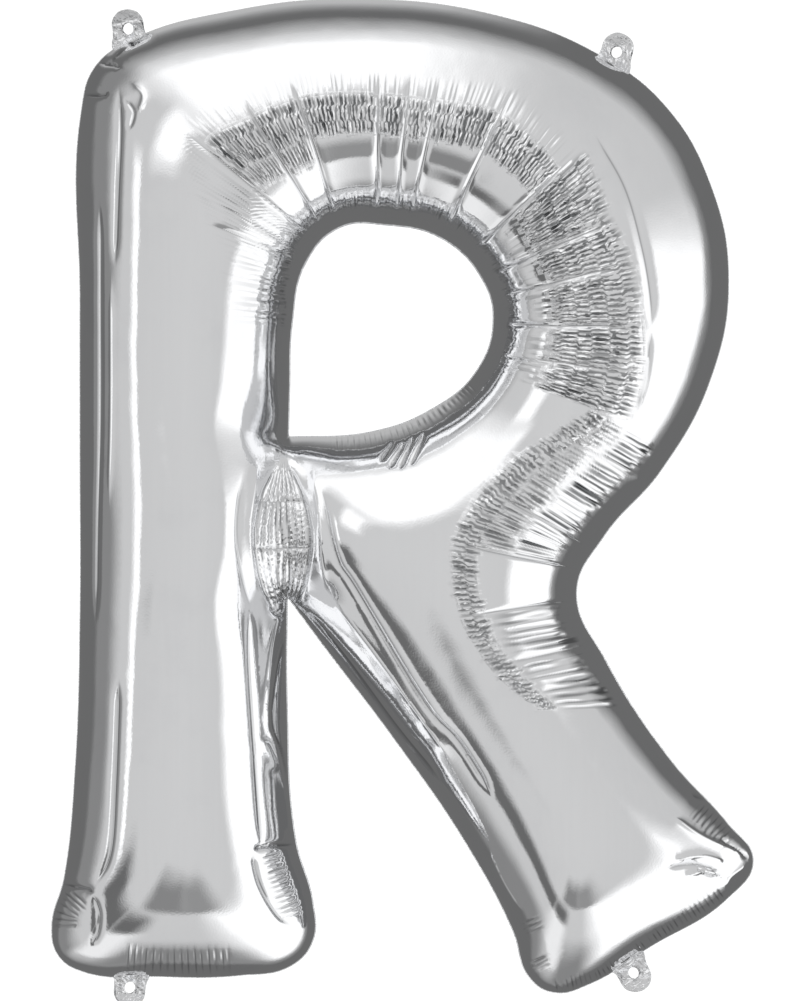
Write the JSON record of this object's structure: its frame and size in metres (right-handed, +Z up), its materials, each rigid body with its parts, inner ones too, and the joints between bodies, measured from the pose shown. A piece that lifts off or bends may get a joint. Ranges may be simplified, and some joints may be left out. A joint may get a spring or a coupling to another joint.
{
  "type": "letter foil balloon",
  "caption": "Inflated foil balloon shaped as a capital letter, two films welded round their edges, with punched hanging tabs and a filling neck.",
  "frame": {"origin": "halfway between the punched holes of the two upper tabs, on the line the balloon hangs from, in the seam plane", "axes": "+X across the letter to the reader's right, +Y from the front to the back, +Z up the letter; the seam lies in the plane Y = 0"},
  "size_m": [0.5726, 0.1942, 0.8674],
  "materials": {
    "film": "mirror-bright silver metallised film",
    "seam": "silver metallised film, finely serrated by the weld",
    "tab": "silver metallised film, crumpled",
    "neck": "silver metallised film"
  },
  "bodies": {
    "root": {"front_film": "film", "back_film": "film", "outer_seam": "seam", "counter_seam": "seam", "tab_top_left": "tab", "tab_top_right": "tab", "tab_bottom_left": "tab", "tab_bottom_right": "tab", "filling_neck": "neck"}
  },
  "joints": []
}
